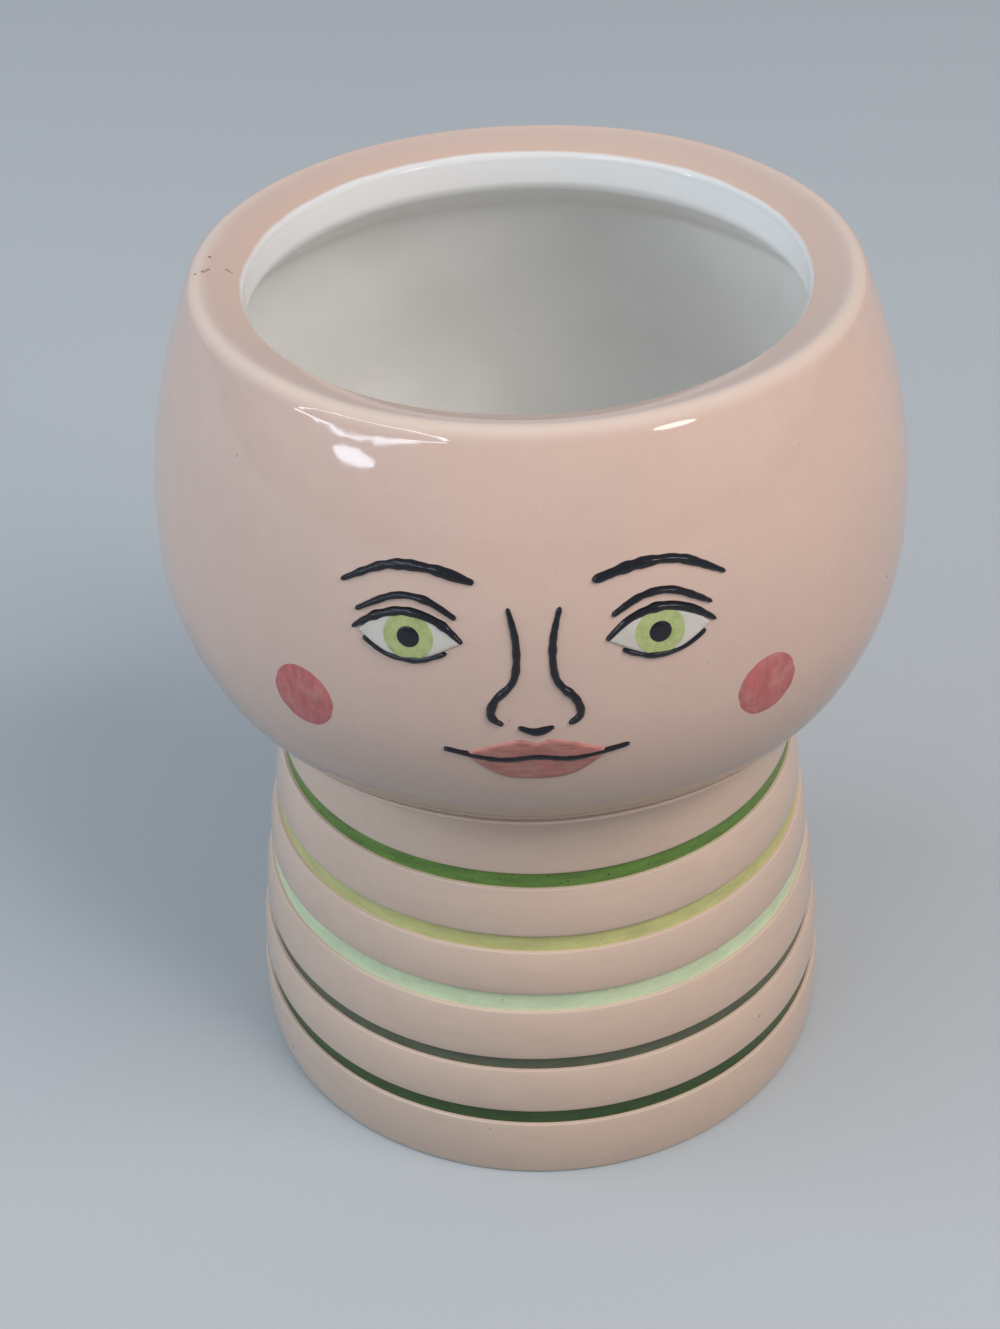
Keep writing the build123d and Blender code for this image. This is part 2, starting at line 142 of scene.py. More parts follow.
# Slim lamps: ends as degrees round the vase and above the rim, and height in metres
LAMP_DISTANCE = 1.3
WINDOW_GLINTS = (
    ("sill_lamp", (-75, 8), (-66, 7.9), 0.04),
    ("sill_left_lamp", (-66, 7.9), (-57, 8.1), 0.02),
    ("sill_middle_lamp", (-57, 8.1), (-47.5, 9.8), 0.012),
    ("sill_right_lamp", (-47.5, 9.8), (-36, 12.6), 0.022),
    ("sill_end_lamp", (-36, 12.6), (-25.5, 15.6), 0.03),
    ("side_lamp", (-73, 11), (-71, 38), 0.025),
    ("top_lamp", (-73, 39), (-46, 40), 0.06),
    ("slope_lamp", (-46, 40), (-26, 18), 0.05),
)
ROUND_GLINTS = (
    ("low_lamp", (-60, 5.2), (-46.5, 6.2), 0.06),
    ("right_lamp", (38.5, 18.5), (53, 16), 0.15),
)
# Soft lamps, which the glaze doesn't mirror: ends and height, and the settings for tint and glow
SOFT_LAMPS = (
    ("key_lamp", (30, 47), (66, 47), 0.7, "key", "key_glow"),
    ("side_key_lamp", (70, 44), (84, 44), 0.35, "key", "side_glow"),
    ("fill_lamp", (-106, 20), (-78, 20), 0.5, "fill", "fill_glow"),
)
CAMERA_PLACE = (0, -0.3075, 0.3021)
CAMERA_PAN, CAMERA_TILT, CAMERA_ROLL = radians(1.13), radians(53.21), radians(-1.97)
FLOOR_RADIUS = 6
FLOOR_STEPS = 96

# Where noise turns into patches: the level at which they begin and at which they are full
EVEN = (0.3, 0.7)
PATCHY = (0.35, 0.7)
SPARSE = (0.45, 0.75)
RARE = (0.5, 0.8)

# Depth of the fine relief
PEEL_DEPTH = 0.012 * MM
PAPER_DEPTH = 0.02 * MM
LINE_DEPTH = 0.03 * MM
EYE_DEPTH = 0.05 * MM
BRUSH_DEPTH = 0.08 * MM


# ---- Sizes and colours that a user may change ----


def length(name, description, default):
    return bpy.props.FloatProperty(
        name=name, description=description, default=default, min=0, unit="LENGTH", precision=5,
    )


def mm(name, description, size):
    return length(name, description, size * MM)


def angle(name, description, default):
    return bpy.props.FloatProperty(
        name=name, description=description, default=radians(default), subtype="ANGLE",
    )


def level(name, description, default):
    return bpy.props.FloatProperty(name=name, description=description, default=default, min=0)


def linear(value):
    """One colour level from 0 to 255 as linear light."""
    share = value / 255
    return share / 12.92 if share <= 0.04045 else ((share + 0.055) / 1.055) ** 2.4


def colour(name, description, *levels):
    return bpy.props.FloatVectorProperty(
        name=name, description=description, default=[linear(value) for value in levels],
        subtype="COLOR", min=0, max=1,
    )


class VaseSizes(bpy.types.PropertyGroup):
    ledge_foot: length("Ledge foot", "Height of the chin ledge's underside", ledge_low.z)
    ledge_top: length("Ledge top", "Height where the head sits on its ledge", ledge_high.z)
    ledge_radius: length("Ledge radius", "Radius of the chin ledge", ledge_high.x)
    seam_groove: mm("Seam groove", "Height of the groove between ledge and jaw", 0.25)
    seam_depth: mm("Seam depth", "Depth of the groove at the seam", 0.6)
    head_radius: length("Head radius", "Largest radius of the head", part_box("head_bowl")[1].x)
    widest: mm("Widest place", "Height of the head's widest place above its ledge", 26.2)
    rim_corner: mm("Rim corner", "Height from ledge to rim before the rim is rounded", 69.9)
    forehead_arc: mm("Forehead arc", "Radius of the curve above the widest place", 103)
    cheek_arc: mm("Cheek arc", "Radius of the curve below the widest place", 44)
    cheek_turn: angle("Cheek turn", "How far round the cheek's curve runs", 24)
    jaw_inset: mm("Jaw inset", "From the widest radius in to the foot of the jaw", 9.9)
    rim_width: mm("Rim width", "From the rim's outer corner in to the throat", 7.9)
    rim_drop: mm("Rim drop", "How far the rim slopes down to the throat", 2.7)
    rim_rounding: mm("Rim rounding", "Rounding of the rim's outer corner", 2.2)
    rim_inner_rounding: mm("Inner rounding", "Rounding of the rim's inner corner", 1.2)
    lip_height: mm("Lip height", "Height of the upright lip inside the mouth", 6.1)
    lip_rounding: mm("Lip rounding", "Rounding under the lip", 3)
    undercut: mm("Undercut", "Height over which the lip opens out to the bowl", 6.5)
    undercut_rounding: mm("Undercut rounding", "Rounding where the lip joins the bowl", 5)
    head_wall: mm("Head wall", "Thickness of the head's wall", 6.5)
    neck_wall: mm("Neck wall", "Thickness of the neck's wall", 6)
    floor: mm("Floor", "Thickness of the floor", 6.5)
    bore_rounding: mm("Bore rounding", "Rounding where the neck opens into the head", 4)
    floor_rounding: mm("Floor rounding", "Rounding round the floor inside", 6)
    lining: mm("Lining", "Thickness of the white glaze inside", 0.5)
    lining_gap: mm("Lining gap", "From the rim's inner rounding down to the white glaze", 0.2)
    collar_inset: mm("Collar inset", "From the foot of the jaw in to the top of the neck", 9.7)
    collar_hollow: mm("Collar hollow", "Radius of the hollow under the ledge", 5)
    collar_turn: angle("Collar turn", "How far round the hollow runs", 50)
    taper_power: level("Taper", "1 tapers the neck evenly, and more keeps it wide lower down", 1.4)
    foot_radius: mm("Foot radius", "Radius of the foot on the table", 52.2)
    belly: mm("Belly", "How far the neck's taper starts outside the foot", 0.7)
    foot_rounding: mm("Foot rounding", "Rounding of the foot's edge", 0.6)
    foot_ring: mm("Foot ring", "Width of the ring that the vase stands on", 8)
    foot_recess: mm("Foot recess", "Depth of the hollow inside the foot ring", 1.2)
    ring_bulge: mm("Ring bulge", "How far each ring of the neck swells", 0.45)
    groove_depth: mm("Groove depth", "Depth of the grooves for the bands", 1)
    groove_upper: mm("Groove upper edge", "Rounding of a groove's soft upper edge", 0.5)
    groove_lower: mm("Groove lower edge", "Rounding of a groove's crisp lower edge", 0.25)
    band_glaze: mm("Band glaze", "Thickness of the coloured glaze in a groove", 0.4)
    band_hollow: mm("Band hollow", "How far the middle of a band's face lies back", 0.06)


class FaceSizes(bpy.types.PropertyGroup):
    chin: mm("Chin", "Height of the chin above the ledge", 6)
    eye_line: level("Eye line", "Share of the middle third, down from the brow", 0.4)
    eye_width: mm("Eye width", "Width of one eye", 15.5)
    eye_turn: angle("Eye turn", "From the face's middle round to an eye", 17)
    lash_width: mm("Lash width", "Width of the lash lines", 1.4)
    crease_width: mm("Crease width", "Width of the lid crease's line", 1.2)
    iris: mm("Iris", "Radius of the iris", 3.7)
    pupil: mm("Pupil", "Radius of the pupil", 1.7)
    brow_length: mm("Brow length", "Length of one brow", 20)
    brow_width: mm("Brow width", "Width of the brow's line", 1.7)
    nose_width: mm("Nose width", "Width of the nose", 13)
    nose_line: mm("Nose line", "Width of the nose's lines", 1.3)
    mouth_width: mm("Mouth width", "Width of the mouth", 27)
    mouth_line: mm("Mouth line", "Width of the mouth's line", 1.3)
    upper_lip: mm("Upper lip", "Height of the upper lip", 3.6)
    lower_lip: mm("Lower lip", "Height of the lower lip", 4.6)
    cheek: mm("Cheek", "Radius of the blush on a cheek", 5.4)
    cheek_turn: angle("Cheek turn", "From the face's middle round to a cheek", 34)
    cheek_drop: level("Cheek drop", "Share of a third, down from the base of the nose", 0.12)
    line_rise: mm("Line rise", "How far the black lines stand up", 0.6)
    pool_rise: mm("Pool rise", "How far the glaze of eyes and lips stands up", 0.32)
    pool_edge: mm("Pool edge", "Width of the rounded edge of a pool of glaze", 0.5)
    iris_rise: mm("Iris rise", "How far the iris stands up", 0.38)
    pupil_rise: mm("Pupil rise", "How far the drop of the pupil stands up", 0.6)
    blush_rise: mm("Blush rise", "How far the blush stands up", 0.14)


class GlazeColours(bpy.types.PropertyGroup):
    peach: colour("Peach", "Glaze of the head", 216, 187, 170)
    pink: colour("Pink", "Glaze of the neck", 210, 185, 165)
    # Cream also serves as the painted highlight on the front of the rim's outer corner and on the
    # grooves' lower edges.
    cream: colour("Cream", "Where the glaze thins on an edge", 209, 197, 182)
    white: colour("White", "Glaze inside the vase", 236, 236, 233)
    clay: colour("Bare clay", "Unglazed foot", 205, 192, 172)
    dark_green: colour("Dark green", "Lowest band", 44, 70, 26)
    grey_green: colour("Grey green", "Second band", 80, 86, 66)
    mint: colour("Mint", "Third band", 202, 217, 177)
    olive: colour("Olive", "Fourth band", 188, 187, 123)
    leaf_green: colour("Leaf green", "Top band", 90, 124, 48)
    black: colour("Black", "Raised lines", 14, 14, 20)
    eye_white: colour("Eye white", "Whites of the eyes", 214, 208, 198)
    iris: colour("Iris", "Green of the eyes", 184, 194, 132)
    blush: colour("Blush", "Rose of the cheeks", 192, 107, 105)
    lips: colour("Lips", "Rose of the lips", 178, 115, 106)
    speck: colour("Speck", "Iron specks in the glaze", 96, 68, 50)


class StudioSettings(bpy.types.PropertyGroup):
    floor: colour("Floor", "Colour of the floor as the camera sees it", 180, 186, 188)
    floor_bounce: colour("Floor bounce", "Colour of the light that the floor sends up", 46, 52, 44)
    sky: colour("Sky", "Colour of the soft light from all round", 236, 242, 255)
    sky_level: level("Sky level", "Strength of the soft light from all round", 0.47)
    key: colour("Key", "Colour of the lamps at the right", 255, 245, 240)
    fill: colour("Fill", "Colour of the lamps at the left", 225, 240, 255)
    key_glow: level("Key glow", "How many times lighter than white the key lamp is", 7.1)
    side_glow: level("Side glow", "How many times lighter than white the side key lamp is", 9)
    fill_glow: level("Fill glow", "How many times lighter than white the fill lamp is", 5.2)
    glint_glow: level("Glint glow", "How many times lighter than white the slim lamps are", 13)
    lens: level("Lens", "Focal length in mm on a 36 mm sensor", 59.65)


def vase():
    return bpy.context.scene.vase_sizes


def face():
    return bpy.context.scene.face_sizes


def colours():
    return bpy.context.scene.glaze_colours


def studio():
    return bpy.context.scene.studio_settings


# ---- Shapes of the turned pieces ----


def verts_in(items):
    return [item for item in items if isinstance(item, bmesh.types.BMVert)]


class Outline:
    """The outline of a turned piece, drawn as radius and height from one vertex."""

    def __init__(self, radius, height):
        self.bm = bmesh.new()
        self.first = self.end = self.bm.verts.new((radius, 0, height))
        self.way = None
        self.corners = []

    def line(self, radius, height, rounding=0):
        """Straight on to a point, whose corner may be rounded once the outline is whole."""
        vert = self.bm.verts.new((radius, 0, height))
        self.bm.edges.new((self.end, vert))
        self.way = Vector((vert.co.x - self.end.co.x, vert.co.z - self.end.co.z)).normalized()
        self.end = vert
        if rounding:
            self.corners.append((vert, rounding))
        return self

    def turn_about(self, radius, height, turn, row=ROW):
        """Carries the last point round a centre; a positive turn runs from +Z towards +X."""
        arm = Vector((self.end.co.x - radius, self.end.co.z - height))
        made = bmesh.ops.spin(
            self.bm, geom=[self.end], cent=(radius, 0, height), axis=(0, 1, 0), angle=turn,
            steps=max(3, round(abs(turn) * arm.length / row)),
        )
        self.end = verts_in(made["geom_last"])[0]
        arm = Vector((self.end.co.x - radius, self.end.co.z - height)).normalized()
        self.way = Vector((arm.y, -arm.x)) if turn > 0 else Vector((-arm.y, arm.x))
        return self

    def curve_to(self, radius, height, row=ROW):
        """An arc to a point, running on smoothly from the last stretch."""
        here = Vector((self.end.co.x, self.end.co.z))
        side = Vector((self.way.y, -self.way.x))
        chord = Vector((radius, height)) - here
        reach = chord.length_squared / (2 * side.dot(chord))
        centre = here + side * reach
        turn = 2 * asin(chord.length / (2 * abs(reach)))
        return self.turn_about(centre.x, centre.y, turn if reach > 0 else -turn, row)

    def swell_to(self, radius, height, swell):
        """A shallow arc to a point, standing out to the right of the way there."""
        here = Vector((self.end.co.x, self.end.co.z))
        chord = Vector((radius, height)) - here
        across = Vector((chord.y, -chord.x)).normalized()
        reach = (chord.length_squared / 4 + swell ** 2) / (2 * swell)
        centre = here + chord / 2 - across * (reach - swell)
        return self.turn_about(centre.x, centre.y, -2 * asin(chord.length / (2 * reach)))

    def round(self, rounding):
        """Marks the last point as a corner to round."""
        self.corners.append((self.end, rounding))
        return self

    def other_end(self):
        """Goes on from the other end of the outline."""
        self.first, self.end = self.end, self.first
        return self

    def close(self):
        self.bm.edges.new((self.end, self.first))
        return self

    def turned(self, steps=TURN_STEPS):
        """Rounds the marked corners and turns the outline once round the axis."""
        for vert, rounding in self.corners:
            ways = [(edge.other_vert(vert).co - vert.co).normalized() for edge in vert.link_edges]
            bend = pi - ways[0].angle(ways[1])
            bmesh.ops.bevel(
                self.bm, geom=[vert], offset=rounding * tan(bend / 2), offset_type="OFFSET",
                segments=ROUNDING_ROWS, profile=0.5, affect="VERTICES", material=-1,
            )
        bmesh.ops.spin(
            self.bm, geom=self.bm.verts[:] + self.bm.edges[:], cent=(0, 0, 0), axis=(0, 0, 1),
            angle=tau, steps=steps, use_merge=True,
        )
        bmesh.ops.remove_doubles(self.bm, verts=self.bm.verts, dist=MERGE)
        return self.bm


def widest_height():
    return vase().ledge_top + vase().widest


def rim_height():
    return vase().ledge_top + vase().rim_corner


def throat_top():
    return rim_height() - vase().rim_drop


def forehead_radius(height, wall=0.0):
    """Radius of the forehead at a height, a wall's thickness inside the surface."""
    s = vase()
    middle = s.head_radius - s.forehead_arc
    return middle + sqrt((s.forehead_arc - wall) ** 2 - (height - widest_height()) ** 2)


def throat_radius():
    return forehead_radius(rim_height()) - vase().rim_width


def jaw_radius():
    return vase().head_radius - vase().jaw_inset


def neck_radius(height):
    """The neck's taper, from over the foot to the collar."""
    s = vase()
    belly = s.foot_radius + s.belly
    collar = jaw_radius() - s.collar_inset
    return belly - (belly - collar) * (height / s.ledge_foot) ** s.taper_power


def bore_radius(height):
    """Inside of the neck, straight from over the floor to the head."""
    s = vase()
    foot = neck_radius(s.floor) - s.neck_wall
    top = neck_radius(s.ledge_foot) - s.neck_wall
    return foot + (top - foot) * (height - s.floor) / (s.ledge_top - s.floor)


def groove_heights(band):
    """Lowest and highest place of a band and the groove that it lies in."""
    low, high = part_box(band + "_band")
    return low.z, high.z


def opening_radius():
    """Radius of the glaze's back where the head opens into the neck."""
    return bore_radius(vase().ledge_top) + vase().lining + vase().bore_rounding


def lining_top():
    return throat_top() - vase().rim_inner_rounding - vase().lining_gap


def head_wall(outline, wall, end_radius):
    """Draws the head's wall down from where the outline stands on it, to a radius at the ledge."""
    s = vase()
    turn = asin((outline.end.co.z - widest_height()) / (s.forehead_arc - wall))
    outline.turn_about(s.head_radius - s.forehead_arc, widest_height(), turn, WALL_ROW)
    outline.turn_about(s.head_radius - s.cheek_arc, widest_height(), s.cheek_turn, WALL_ROW)
    return outline.curve_to(end_radius, s.ledge_top)


def cavity(outline, growth):
    """Draws the inside down from the throat to the ledge, grown outwards by a glaze's thickness."""
    s = vase()
    lip_foot = throat_top() - s.lip_height
    undercut_foot = lip_foot - s.undercut
    wall = s.head_wall - growth
    outline.line(throat_radius() + growth, lip_foot, s.lip_rounding)
    outline.line(forehead_radius(undercut_foot, wall), undercut_foot, s.undercut_rounding)
    head_wall(outline, wall, bore_radius(s.ledge_top) + growth + s.bore_rounding)
    return outline


def bore(outline, growth):
    """Draws the neck's inside downwards from the head to the middle of the floor."""
    s = vase()
    top = s.ledge_top - s.bore_rounding
    outline.curve_to(bore_radius(top) + growth, top)
    outline.line(bore_radius(s.floor) + growth, s.floor - growth, s.floor_rounding)
    return outline.line(0, s.floor - growth)


def head_outline():
    """The head's shell, stepped at the throat where the white glaze begins."""
    s = vase()
    outline = Outline(forehead_radius(rim_height()), rim_height())
    head_wall(outline, 0, jaw_radius())
    outline.other_end().round(s.rim_rounding)
    outline.line(throat_radius(), throat_top(), s.rim_inner_rounding)
    outline.line(throat_radius(), lining_top()).line(throat_radius() + s.lining, lining_top())
    return cavity(outline, s.lining).close()


def lining_outline():
    """The white glaze: its face down to the middle of the floor, and its back."""
    lining = vase().lining
    outline = Outline(throat_radius(), lining_top())
    bore(cavity(outline, 0), 0)
    outline.other_end().line(throat_radius() + lining, lining_top())
    return bore(cavity(outline, lining), lining)


def ledge_outline():
    """The chin ledge, with the seam's fine groove at its top."""
    s = vase()
    groove_foot = s.ledge_top - s.seam_groove
    groove = s.ledge_radius - s.seam_depth
    outline = Outline(opening_radius(), s.ledge_foot)
    outline.line(s.ledge_radius, s.ledge_foot, LEDGE_EDGE)
    outline.line(s.ledge_radius, groove_foot, LEDGE_EDGE)
    outline.line(groove, groove_foot).line(groove, s.ledge_top)
    return outline.line(opening_radius(), s.ledge_top).close()


def neck_outline():
    """The neck from the middle of the foot's hollow up its rings and down its bore."""
    s = vase()
    ring = s.foot_radius - s.foot_ring
    outline = Outline(0, s.foot_recess).line(ring, s.foot_recess, FOOT_RING_EDGE)
    outline.line(ring, 0, FOOT_RING_EDGE).line(s.foot_radius, 0, s.foot_rounding)
    for band in BANDS:
        low, high = groove_heights(band)
        outline.swell_to(neck_radius(low), low, s.ring_bulge).round(s.groove_lower)
        outline.line(neck_radius(low) - s.groove_depth, low)
        outline.line(neck_radius(high) - s.groove_depth, high)
        outline.line(neck_radius(high), high, s.groove_upper)
    hollow_foot = s.ledge_foot - s.collar_hollow * sin(s.collar_turn)
    hollow_radius = neck_radius(hollow_foot)
    outline.swell_to(hollow_radius, hollow_foot, s.ring_bulge)
    outline.turn_about(hollow_radius + s.collar_hollow, hollow_foot, s.collar_turn, ROW / 2)
    outline.line(opening_radius() - (s.ledge_top - s.ledge_foot), s.ledge_foot)
    bore_top = s.ledge_top - s.bore_rounding
    outline.line(bore_radius(bore_top) + s.lining, bore_top)
    outline.line(bore_radius(s.floor) + s.lining, s.floor - s.lining, s.floor_rounding)
    return outline.line(0, s.floor - s.lining)


def band_outline(band):
    """The glaze in one groove, its face a little hollow as glaze dries in a channel."""
    s = vase()
    low, high = groove_heights(band)
    foot, top = neck_radius(low) - s.groove_depth, neck_radius(high) - s.groove_depth
    outline = Outline(top, high).line(top + s.band_glaze, high)
    outline.swell_to(foot + s.band_glaze, low, s.band_hollow)
    return outline.line(foot, low).close()


def uneven(bm):
    """Shifts a piece as the whole vase is uneven, alike for all pieces at one place."""
    for vert in bm.verts:
        place = vert.co.copy()
        steady = min(max(place.z, 0) / STEADY_HEIGHT, 1)
        out = Vector((place.x, place.y, 0)).normalized()
        swell = noise.noise(place / SWELL_SIZE) * SWELL * steady
        lift = noise.noise(place / LIFT_SIZE + LIFT_SEED) * LIFT * steady
        vert.co = place + out * swell + Vector((0, 0, lift))


def add_piece(bm, name, material, node):
    """Makes a bmesh a named piece that rides on the vase and stands for its CAD node."""
    uneven(bm)
    bmesh.ops.recalc_face_normals(bm, faces=bm.faces)
    mesh = bpy.data.meshes.new(name)
    bm.to_mesh(mesh)
    bm.free()
    mesh.shade_smooth()
    mesh.set_sharp_from_angle(angle=SHARP_ANGLE)
    mesh.materials.append(material)
    piece = bpy.data.objects.new(name, mesh)
    bpy.context.scene.collection.objects.link(piece)
    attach(piece, BODY)
    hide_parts(node)


# ---- Shapes of the face ----


def third():
    """A third of the face, from rim to chin."""
    return (vase().rim_corner - face().chin) / 3


def brow_height():
    return rim_height() - third()


def eye_height():
    return brow_height() - third() * face().eye_line


def nose_height():
    return brow_height() - third()


def mouth_height():
    return nose_height() - third() / 3


def scaled(shares, width, up, height=None):
    """Points given as shares of a width and a height, set over a place on the middle line."""
    height = height or width
    return [(across * width, up + rise * height, *thick) for across, rise, *thick in shares]


def head_slope(height):
    """Radius of the head's outside at a height, and the way that its surface faces there."""
    s = vase()
    reach = s.forehead_arc if height >= widest_height() else s.cheek_arc
    turn = asin((height - widest_height()) / reach)
    return s.head_radius - reach + reach * cos(turn), Vector((cos(turn), sin(turn)))


def wrapped(bm, side=1, turn=0.0):
    """Lays a flat shape, which faces -Y, round the head, and mirrors it for the left."""
    if side < 0:
        bmesh.ops.scale(bm, vec=(-1, 1, 1), verts=bm.verts)
    for vert in bm.verts:
        across, out, up = vert.co.x, -vert.co.y, vert.co.z
        radius, facing = head_slope(up)
        round_by = side * turn + asin(across / radius)
        reach = radius + out * facing.x
        vert.co = Vector((reach * sin(round_by), -reach * cos(round_by), up + out * facing.y))
    return bm


class Stroke:
    """A smooth flat line through points, which may have a width, read by the distance along it."""

    def __init__(self, points):
        knots = [Vector((across, 0, up)) for across, up, *thick in points]
        widths = [thick[0] if thick else 1 for across, up, *thick in points]
        self.points, self.widths, self.reach = [knots[0]], [widths[0]], [0.0]
        for i in range(len(knots) - 1):
            start, end = knots[i], knots[i + 1]
            lead = (end - knots[max(i - 1, 0)]) / 6
            trail = (knots[min(i + 2, len(knots) - 1)] - start) / 6
            run = interpolate_bezier(start, start + lead, end - trail, end, STROKE_SAMPLES + 1)
            for j in range(1, STROKE_SAMPLES + 1):
                share = j / STROKE_SAMPLES
                ease = share * share * (3 - 2 * share)
                self.reach.append(self.reach[-1] + (run[j] - self.points[-1]).length)
                self.points.append(run[j])
                self.widths.append(widths[i] + (widths[i + 1] - widths[i]) * ease)
        self.length = self.reach[-1]

    def at(self, distance):
        """Point, direction and width share at a distance along the line."""
        i = 0
        while i < len(self.reach) - 2 and self.reach[i + 1] < distance:
            i += 1
        share = (distance - self.reach[i]) / (self.reach[i + 1] - self.reach[i])
        along = (self.points[i + 1] - self.points[i]).normalized()
        width = self.widths[i] + (self.widths[i + 1] - self.widths[i]) * share
        return self.points[i].lerp(self.points[i + 1], share), along, width


def bead(stroke, width, seed):
    """A raised line: a ring carried along a stroke and drawn in to a round tip at both ends."""
    bm = bmesh.new()
    half, rise = width / 2, face().line_rise
    tips = [half * (1 - cos(pi / 2 * (row + 1) / BEAD_TIP_ROWS)) for row in range(BEAD_TIP_ROWS)]
    inner = stroke.length - 2 * half
    steps = max(2, round(inner / BEAD_STEP))
    stops = tips + [half + inner * i / steps for i in range(1, steps)]
    stops += [stroke.length - tip for tip in reversed(tips)]
    rings, last = [], None
    for stop in stops:
        point, along, share = stroke.at(stop)
        near = min(stop, stroke.length - stop, half) / half
        swell = 1 + BEAD_SWELL * noise.noise(Vector((stop / BEAD_SWELL_SIZE, seed, 0)))
        taper = sqrt(1 - (1 - near) ** 2) * share * swell
        across = Vector((along.z, 0, -along.x)) * half * taper
        place = Matrix.Translation(point + Vector((0, SINK, 0))) @ Matrix((
            (across.x, 0, along.x, 0),
            (0, -(rise * sqrt(taper) + SINK), 0, 0),
            (across.z, 0, along.z, 0),
            (0, 0, 0, 1),
        ))
        if rings:
            ring = rings[-1]
            edges = {
                edge for vert in ring for edge in vert.link_edges if edge.other_vert(vert) in ring
            }
            made = bmesh.ops.extrude_edge_only(bm, edges=list(edges))["geom"]
            rings.append(set(verts_in(made)))
            bmesh.ops.transform(bm, matrix=place @ last.inverted(), verts=list(rings[-1]))
        else:
            made = bmesh.ops.create_circle(
                bm, cap_ends=False, segments=BEAD_SIDES, radius=1, matrix=place,
            )
            rings.append(set(made["verts"]))
        last = place
    for ring, stop in ((rings[0], 0), (rings[-1], stroke.length)):
        tip = stroke.at(stop)[0] + Vector((0, SINK, 0))
        bmesh.ops.pointmerge(bm, verts=list(ring), merge_co=tip)
    return bm


def pool(lower, upper):
    """A pool of glaze between two strokes that meet at both ends, with a rounded edge."""
    bm = bmesh.new()
    bmesh.ops.create_grid(bm, x_segments=POOL_COLUMNS, y_segments=POOL_ROWS, size=1)
    for vert in bm.verts:
        along, across = (sin(pi / 2 * vert.co.x) + 1) / 2, (sin(pi / 2 * vert.co.y) + 1) / 2
        foot, top = lower.at(along * lower.length)[0], upper.at(along * upper.length)[0]
        near = min(min(across, 1 - across) * (top - foot).length / face().pool_edge, 1)
        out = (face().pool_rise + SINK) * sqrt(max(1 - (1 - near) ** 2, 0)) - SINK
        vert.co = foot.lerp(top, across) - Vector((0, out, 0))
    bmesh.ops.remove_doubles(bm, verts=bm.verts, dist=MERGE)
    back = bmesh.ops.extrude_face_region(bm, geom=bm.faces[:])["geom"]
    bmesh.ops.translate(bm, vec=(0, 2 * SINK, 0), verts=verts_in(back))
    return bm


def laid_flat(bm, height):
    """Lays a turned piece on the face at a height, so that its axis faces -Y."""
    bmesh.ops.rotate(bm, cent=(0, 0, 0), matrix=Matrix.Rotation(pi / 2, 3, "X"), verts=bm.verts)
    bmesh.ops.translate(bm, vec=(0, 0, height), verts=bm.verts)
    return bm


def iris_disc():
    """A disc of glaze, a little hollow in the middle."""
    f = face()
    points = [(f.iris * share, f.iris_rise - drop) for share, drop in IRIS_PROFILE]
    outline = Outline(*points[0])
    for point in points[1:]:
        outline.line(*point)
    outline.round(IRIS_EDGE).line(f.iris, -SINK).line(0, -SINK)
    return laid_flat(outline.turned(IRIS_STEPS), eye_height())


def pupil_drop():
    """A drop of glaze, round at its shoulder and low in the middle."""
    f = face()
    outline = Outline(f.pupil, f.iris_rise / 2)
    outline.way = Vector((0, 1))
    share, rise = PUPIL_SHOULDER
    outline.curve_to(f.pupil * share, f.pupil_rise * rise, PUPIL_ROW)
    outline.curve_to(0, f.pupil_rise, 2 * PUPIL_ROW)
    outline.other_end().line(f.pupil, -SINK).line(0, -SINK)
    return laid_flat(outline.turned(PUPIL_STEPS), eye_height())


def blush_disc():
    """A thin patch of brushed glaze, whose uneven edge runs out on the head."""
    f = face()
    outline = Outline(0, f.blush_rise)
    edge_sink = SINK / 4
    for row in range(1, BLUSH_ROWS + 1):
        share = row / BLUSH_ROWS
        rise = (f.blush_rise + edge_sink) * (1 - share ** BLUSH_FALL) - edge_sink
        outline.line(f.cheek * share, rise)
    bm = outline.line(f.cheek, -SINK).line(0, -SINK).turned(BLUSH_STEPS)
    for vert in bm.verts:
        way = Vector((vert.co.x, vert.co.y, 0))
        facing = way.normalized()
        wobble = sum(noise.noise(facing * pace) * reach for pace, reach in BLUSH_WOBBLES)
        stretch = 1 + wobble * way.length / f.cheek
        vert.co.x *= stretch
        vert.co.y *= stretch
    return laid_flat(bm, nose_height() - third() * f.cheek_drop)


# ---- Glazes ----


def as_node(operation, swapped=False):
    """Python's operator as a Math node."""
    def apply(self, other):
        return self.finish.maths(operation, *((other, self) if swapped else (self, other)))
    return apply


class Field:
    """A value that varies over a surface. Python's operators on it add Math nodes."""

    def __init__(self, finish, socket):
        self.finish, self.socket = finish, socket

    __add__ = __radd__ = as_node("ADD")
    __sub__ = as_node("SUBTRACT")
    __rsub__ = as_node("SUBTRACT", swapped=True)
    __mul__ = __rmul__ = as_node("MULTIPLY")
    __truediv__ = as_node("DIVIDE")
    __pow__ = as_node("POWER")
    most = as_node("MAXIMUM")

    def fade(self, start, end):
        """0 at the start value, 1 at the end value, smooth between them."""
        return self.finish.node(
            "ShaderNodeMapRange", {"interpolation_type": "SMOOTHSTEP"},
            {"Value": self, "From Min": start, "From Max": end},
        )


